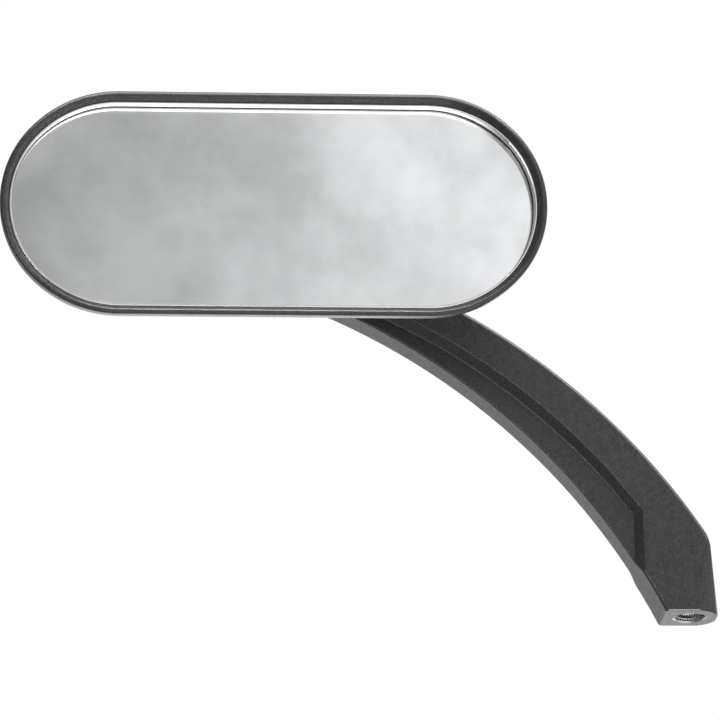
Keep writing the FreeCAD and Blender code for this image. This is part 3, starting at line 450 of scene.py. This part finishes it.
dress("mirror_glass", float_glass())
film_form = bmesh.new()
film_form.from_mesh(nodes["mirror_glass"].data)
bmesh.ops.remove_doubles(film_form, verts=film_form.verts[:], dist=SAME_POINT)
not_back = [face for face in film_form.faces if face.normal.dot(GLASS_FRONT) > FACING_BACK]
bmesh.ops.delete(film_form, geom=not_back, context="FACES")
bmesh.ops.dissolve_limit(film_form, angle_limit=SAME_PLANE, verts=film_form.verts[:],
                         edges=film_form.edges[:])
border = bmesh.ops.inset_region(film_form, faces=film_form.faces[:], thickness=FILM_BORDER,
                                use_boundary=True, use_even_offset=True)["faces"]
bmesh.ops.delete(film_form, geom=border, context="FACES")
bmesh.ops.translate(film_form, verts=film_form.verts[:], vec=GLASS_FRONT * FILM_DEPTH)
bmesh.ops.solidify(film_form, geom=film_form.faces[:], thickness=FILM_THICKNESS)
bmesh.ops.recalc_face_normals(film_form, faces=film_form.faces[:])
film_mesh = bpy.data.meshes.new("silver_film")
film_form.to_mesh(film_mesh)
film_form.free()
film_mesh.materials.append(silver_film())
film = bpy.data.objects.new("silver_film", film_mesh)
scene.collection.objects.link(film)
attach(film, "head")

# Trim ring
# A thin strip of bright metal, bent to the oval and polished. It is pressed into the lip in front of
# the glass and holds it.
BRIGHT_COLOUR = (0.90, 0.90, 0.90)
BRIGHT_SHADE = (0.80, 0.80, 0.81)
BRIGHT_ROUGHNESS = (0.10, 0.18)
BUFF_SIZE = 0.0015


def polished_trim():
    material, surface, vector = new_finish("polished_trim")
    buff = grain(material, vector, (-700, 200), BUFF_SIZE)
    spread(material, buff, BRIGHT_SHADE, BRIGHT_COLOUR, surface.inputs["Base Color"], (-300, 250))
    spread(material, buff, *BRIGHT_ROUGHNESS, surface.inputs["Roughness"], (-300, 0))
    surface.inputs["Metallic"].default_value = 1.0
    return material


dress("trim_ring", polished_trim())

# Floor
# A pale, matt floor far below the part, wide enough to fill the views from above. It throws no light
# on the part: that comes from the studio round it.
FLOOR_DROP = 1.5
FLOOR_REACH = 14.0
FLOOR_SIDES = 96
FLOOR_COLOUR = (0.93, 0.93, 0.93)
FLOOR_LIGHTER = (0.9393, 0.9393, 0.9393)
FLOOR_ROUGHNESS = 0.9
FLOOR_GRAIN_SIZE = 0.05

floor_mesh = bpy.data.meshes.new("floor")
floor_form = bmesh.new()
bmesh.ops.create_circle(floor_form, cap_ends=True, segments=FLOOR_SIDES, radius=FLOOR_REACH,
                        matrix=Matrix.Translation((0, 0, -FLOOR_DROP)))
floor_form.to_mesh(floor_mesh)
floor_form.free()
floor = bpy.data.objects.new("floor", floor_mesh)
scene.collection.objects.link(floor)
floor_finish, floor_surface, floor_vector = new_finish("floor_paint")
floor_grain = grain(floor_finish, floor_vector, (-700, 0), FLOOR_GRAIN_SIZE)
spread(floor_finish, floor_grain, FLOOR_COLOUR, FLOOR_LIGHTER, floor_surface.inputs["Base Color"],
       (-300, 250))
floor_surface.inputs["Roughness"].default_value = FLOOR_ROUGHNESS
floor_mesh.materials.append(floor_finish)
floor.visible_diffuse = floor.visible_glossy = floor.visible_transmission = False

# Studio light
# White shows all round the part. What lights it and shines in it is a studio: a cloudy sky in front for
# the glass, soft light from overhead, behind and below, a dark left side and three strips of light.
# A range in height, depth or side runs from where a light starts to where it is full.
SKY_STOPS = ((0.0, 0.42), (0.3, 0.465), (0.5, 0.565), (0.75, 0.775), (1.0, 0.85))
SKY_TINT = (0.99, 1.0, 1.015)
SKY_ACROSS = (0.0426, 0.1276)
SKY_DOWN = (0.0386, 0.0067)
SKY_WIDTH = 0.85
SKY_FAN = 0.25
SKY_LIFT = 0.12
CLOUD_SCALE = 56.0
CLOUD_DETAIL = 8.0
CLOUD_ROUGHNESS = 0.62
CLOUD_DISTORTION = 0.15
CLOUD_RANGE = (0.36, 0.64)
CLOUD_SHADES = (0.85, 1.15)
HIGH_FRONT = 0.42
HIGH_FRONT_HEIGHT = (0.10, 0.30)
HIGH_FRONT_SIDE = (0.55, 0.25)
BELOW = 1.5
BELOW_HEIGHT = (-0.45, -0.75)
BELOW_DEPTH = (0.3, -0.2)
DARK_SIDE = 0.24
DARK_SIDE_RANGE = (0.03, -0.30)
BEHIND_HIGH = 0.3
BEHIND_DEPTH = (0.05, 0.60)
BEHIND_LEVEL = 1.0
BEHIND_LEVEL_TOP = (0.35, -0.10)
BEHIND_LEVEL_FOOT = (-0.85, -0.45)
OVERHEAD = 1.1
OVERHEAD_HEIGHT = (0.58, 0.78)
OVERHEAD_DEPTH = (0.55, 0.2)
LEFT_STRIP = (6.0, (-0.52, -0.79, -0.33), 12.0)
FRONT_STRIP = (1.8, (0.10, -0.94, -0.32), 12.0)
BEHIND_STRIP = (1.85, (0.35, 0.93, -0.15), 27.0)
STRIP_EDGE = (1.4, 0.6)

world = bpy.data.worlds.new("studio")
scene.world = world
world.use_nodes = True
world.node_tree.nodes.clear()
world_link = world.node_tree.links.new
world_output = add_node(world, "OutputWorld", (1900, 0))
shown = add_node(world, "Background", (1500, -200), Color=(1, 1, 1, 1))
studio = add_node(world, "Background", (1500, 100))
rays = add_node(world, "LightPath", (1500, 500))
chosen = add_node(world, "MixShader", (1700, 0))
world_link(rays.outputs["Is Camera Ray"], chosen.inputs["Fac"])
world_link(studio.outputs["Background"], chosen.inputs[1])
world_link(shown.outputs["Background"], chosen.inputs[2])
world_link(chosen.outputs["Shader"], world_output.inputs["Surface"])
direction = add_node(world, "TexCoord", (-1500, 0)).outputs["Generated"]
parts = add_node(world, "SeparateXYZ", (-1300, 0))
world_link(direction, parts.inputs["Vector"])
side, depth, height = parts.outputs


def rise(value, low, high, place, soft=True, to=(0.0, 1.0)):
    """Go from 0 at one value to 1 at another, or between another pair; the first may be the larger."""
    node = add_node(world, "MapRange", place, From_Min=low, From_Max=high, To_Min=to[0], To_Max=to[1])
    node.interpolation_type = "SMOOTHSTEP" if soft else "LINEAR"
    world_link(value, node.inputs["Value"])
    return node.outputs["Result"]


def combine(operation, first, second, place):
    """Work on two values, each a socket or a plain number."""
    node = add_node(world, "Math", place)
    node.operation = operation
    for socket, value in zip(node.inputs, (first, second)):
        if isinstance(value, float):
            socket.default_value = value
        else:
            world_link(value, socket)
    return node.outputs["Value"]


def lay_over(under, brightness, share, place):
    """Put a patch of even light over what is there already."""
    node = add_node(world, "Mix", place)
    node.data_type = "RGBA"
    node.inputs["B"].default_value = (brightness, brightness, brightness, 1)
    world_link(share, node.inputs["Factor"])
    world_link(under, node.inputs["A"])
    return node.outputs["Result"]


def strip(under, brightness, towards, reach, place):
    """A soft round patch of light in one direction, this many degrees to the middle of its edge."""
    facing = add_node(world, "VectorMath", (place[0], -600))
    facing.operation = "DOT_PRODUCT"
    facing.inputs[1].default_value = Vector(towards).normalized()
    world_link(direction, facing.inputs[0])
    start, full = (math.cos(math.radians(reach * edge)) for edge in STRIP_EDGE)
    share = rise(facing.outputs["Value"], start, full, (place[0], -400))
    return lay_over(under, brightness, share, place)


rightward = rise(side, *SKY_ACROSS, (-1000, 300), soft=False)
downward = rise(height, *SKY_DOWN, (-1000, 0), soft=False)
fan = combine("ADD", combine("MULTIPLY", downward, SKY_FAN, (-850, 0)), SKY_WIDTH, (-700, 100))
slant = combine("MULTIPLY", rightward, fan, (-600, 300))
upward_share = combine("SUBTRACT", 1.0, downward, (-850, -200))
drift = combine("ADD", slant, combine("MULTIPLY", upward_share, SKY_LIFT, (-700, -200)), (-500, 200))
sky = add_node(world, "ValToRGB", (-300, 300))
world_link(drift, sky.inputs["Fac"])
sky_stops = sky.color_ramp.elements
for position, _ in SKY_STOPS[1:-1]:
    sky_stops.new(position)
for stop, (position, brightness) in zip(sky_stops, SKY_STOPS):
    stop.position = position
    stop.color = (*(brightness * tint for tint in SKY_TINT), 1)
clouds = add_node(world, "TexNoise", (-1000, 600), Scale=CLOUD_SCALE, Detail=CLOUD_DETAIL,
                  Roughness=CLOUD_ROUGHNESS, Distortion=CLOUD_DISTORTION)
world_link(direction, clouds.inputs["Vector"])
puffs = rise(clouds.outputs["Fac"], *CLOUD_RANGE, (-700, 600), soft=False, to=CLOUD_SHADES)
cloudy = add_node(world, "VectorMath", (-100, 400))
cloudy.operation = "MULTIPLY"
world_link(sky.outputs["Color"], cloudy.inputs[0])
world_link(puffs, cloudy.inputs[1])

high_front = combine("MULTIPLY", rise(height, *HIGH_FRONT_HEIGHT, (0, 600)),
                     rise(side, *HIGH_FRONT_SIDE, (0, 800)), (150, 700))
light = lay_over(cloudy.outputs["Vector"], HIGH_FRONT, high_front, (200, 400))
front_below = combine("MULTIPLY", rise(height, *BELOW_HEIGHT, (0, -200)),
                      rise(depth, *BELOW_DEPTH, (0, -400)), (150, -300))
light = lay_over(light, BELOW, front_below, (300, 100))
light = lay_over(light, DARK_SIDE, rise(side, *DARK_SIDE_RANGE, (300, -200)), (450, 100))
light = strip(light, *LEFT_STRIP, (600, 100))
light = strip(light, *FRONT_STRIP, (750, 100))
behind = rise(depth, *BEHIND_DEPTH, (750, -200))
light = lay_over(light, BEHIND_HIGH, behind, (900, 100))
level_band = combine("MULTIPLY", rise(height, *BEHIND_LEVEL_TOP, (900, -200)),
                     rise(height, *BEHIND_LEVEL_FOOT, (900, -800)), (1000, -400))
behind_level = combine("MULTIPLY", behind, level_band, (1000, -200))
light = lay_over(light, BEHIND_LEVEL, behind_level, (1050, 100))
light = strip(light, *BEHIND_STRIP, (1200, 100))
overhead = combine("MULTIPLY", rise(height, *OVERHEAD_HEIGHT, (1200, -200)),
                   rise(depth, *OVERHEAD_DEPTH, (1200, -800)), (1300, -300))
light = lay_over(light, OVERHEAD, overhead, (1350, 100))
world_link(light, studio.inputs["Color"])
scene.view_settings.view_transform = "Standard"

# Lamps
# Two lamps that show only as a shine on the black coat. A wide softbox overhead draws the light band on
# the head's upper rim, and a short, narrow one close in front draws the thin line along the lower lip.
SOFTBOX = (8.5, (1.6, 0.9))
SOFTBOX_OFFSET = Vector((0.1, -0.42, 0.95))
LIP_LAMP = (4.0, (0.09, 0.018))
LIP_LAMP_OFFSET = Vector((0.006, -0.047, 0.037))
LIP_LAMP_SPREAD = math.radians(30)


def hang_lamp(name, brightness, size, target, offset, lit_nodes):
    """A soft lamp that faces a point of the part and shines on some of its pieces."""
    lamp_data = bpy.data.lights.new(name, "AREA")
    lamp_data.shape = "RECTANGLE"
    lamp_data.size, lamp_data.size_y = size
    lamp_data.energy = brightness * math.pi * size[0] * size[1]
    lamp = bpy.data.objects.new(name, lamp_data)
    scene.collection.objects.link(lamp)
    lamp.location = target + offset
    lamp.rotation_euler = offset.to_track_quat("Z", "Y").to_euler()
    lamp.visible_camera = lamp.visible_diffuse = False
    lit = bpy.data.collections.new(name + "_pieces")
    for node in lit_nodes:
        lit.objects.link(nodes[node])
    lamp.light_linking.receiver_collection = lit
    return lamp


hang_lamp("softbox", *SOFTBOX, Vector(), SOFTBOX_OFFSET, ("stem", "housing"))
head_low, head_high = (Vector(corner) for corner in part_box("housing"))
lip_setback = (head_high.z - head_low.z) * math.tan(GLASS_LEAN)
lower_lip = Vector(((head_low.x + head_high.x) / 2, head_low.y + lip_setback, head_low.z))
lip_lamp = hang_lamp("lip_lamp", *LIP_LAMP, lower_lip, LIP_LAMP_OFFSET, ("housing",))
lip_lamp.data.spread = LIP_LAMP_SPREAD

# Camera
# It stands far off, low and a little to the left of the mirror, and looks up at the part's front.
# The middle of the tapped hole's mouth, the part's origin, sets its frame.
AZIMUTH, ELEVATION, ROLL = (math.radians(angle) for angle in (-6.0, -18.8, -1.5))
DISTANCE = 1.6
PIXELS = 720
PIXELS_A_METRE = 3866
FOCAL_PIXELS = PIXELS_A_METRE * DISTANCE
ORIGIN_PIXEL = (689.8, 618.3)
NEAREST, FARTHEST = 0.05, 50.0

back = Vector((math.sin(AZIMUTH) * math.cos(ELEVATION), -math.cos(AZIMUTH) * math.cos(ELEVATION),
               math.sin(ELEVATION)))
level = (-back).cross(Vector((0, 0, 1))).normalized()
upright = level.cross(-back)
across = math.cos(ROLL) * level + math.sin(ROLL) * upright
upward = math.cos(ROLL) * upright - math.sin(ROLL) * level
to_origin = (-FOCAL_PIXELS * back + (ORIGIN_PIXEL[0] - PIXELS / 2) * across
             - (ORIGIN_PIXEL[1] - PIXELS / 2) * upward).normalized()
camera_data = bpy.data.cameras.new("camera")
camera = bpy.data.objects.new("camera", camera_data)
scene.collection.objects.link(camera)
camera_data.lens = camera_data.sensor_width * FOCAL_PIXELS / PIXELS
camera_data.clip_start, camera_data.clip_end = NEAREST, FARTHEST
turn = Matrix((across, upward, back)).transposed().to_4x4()
camera.matrix_world = Matrix.Translation(-to_origin * DISTANCE) @ turn
scene.camera = camera
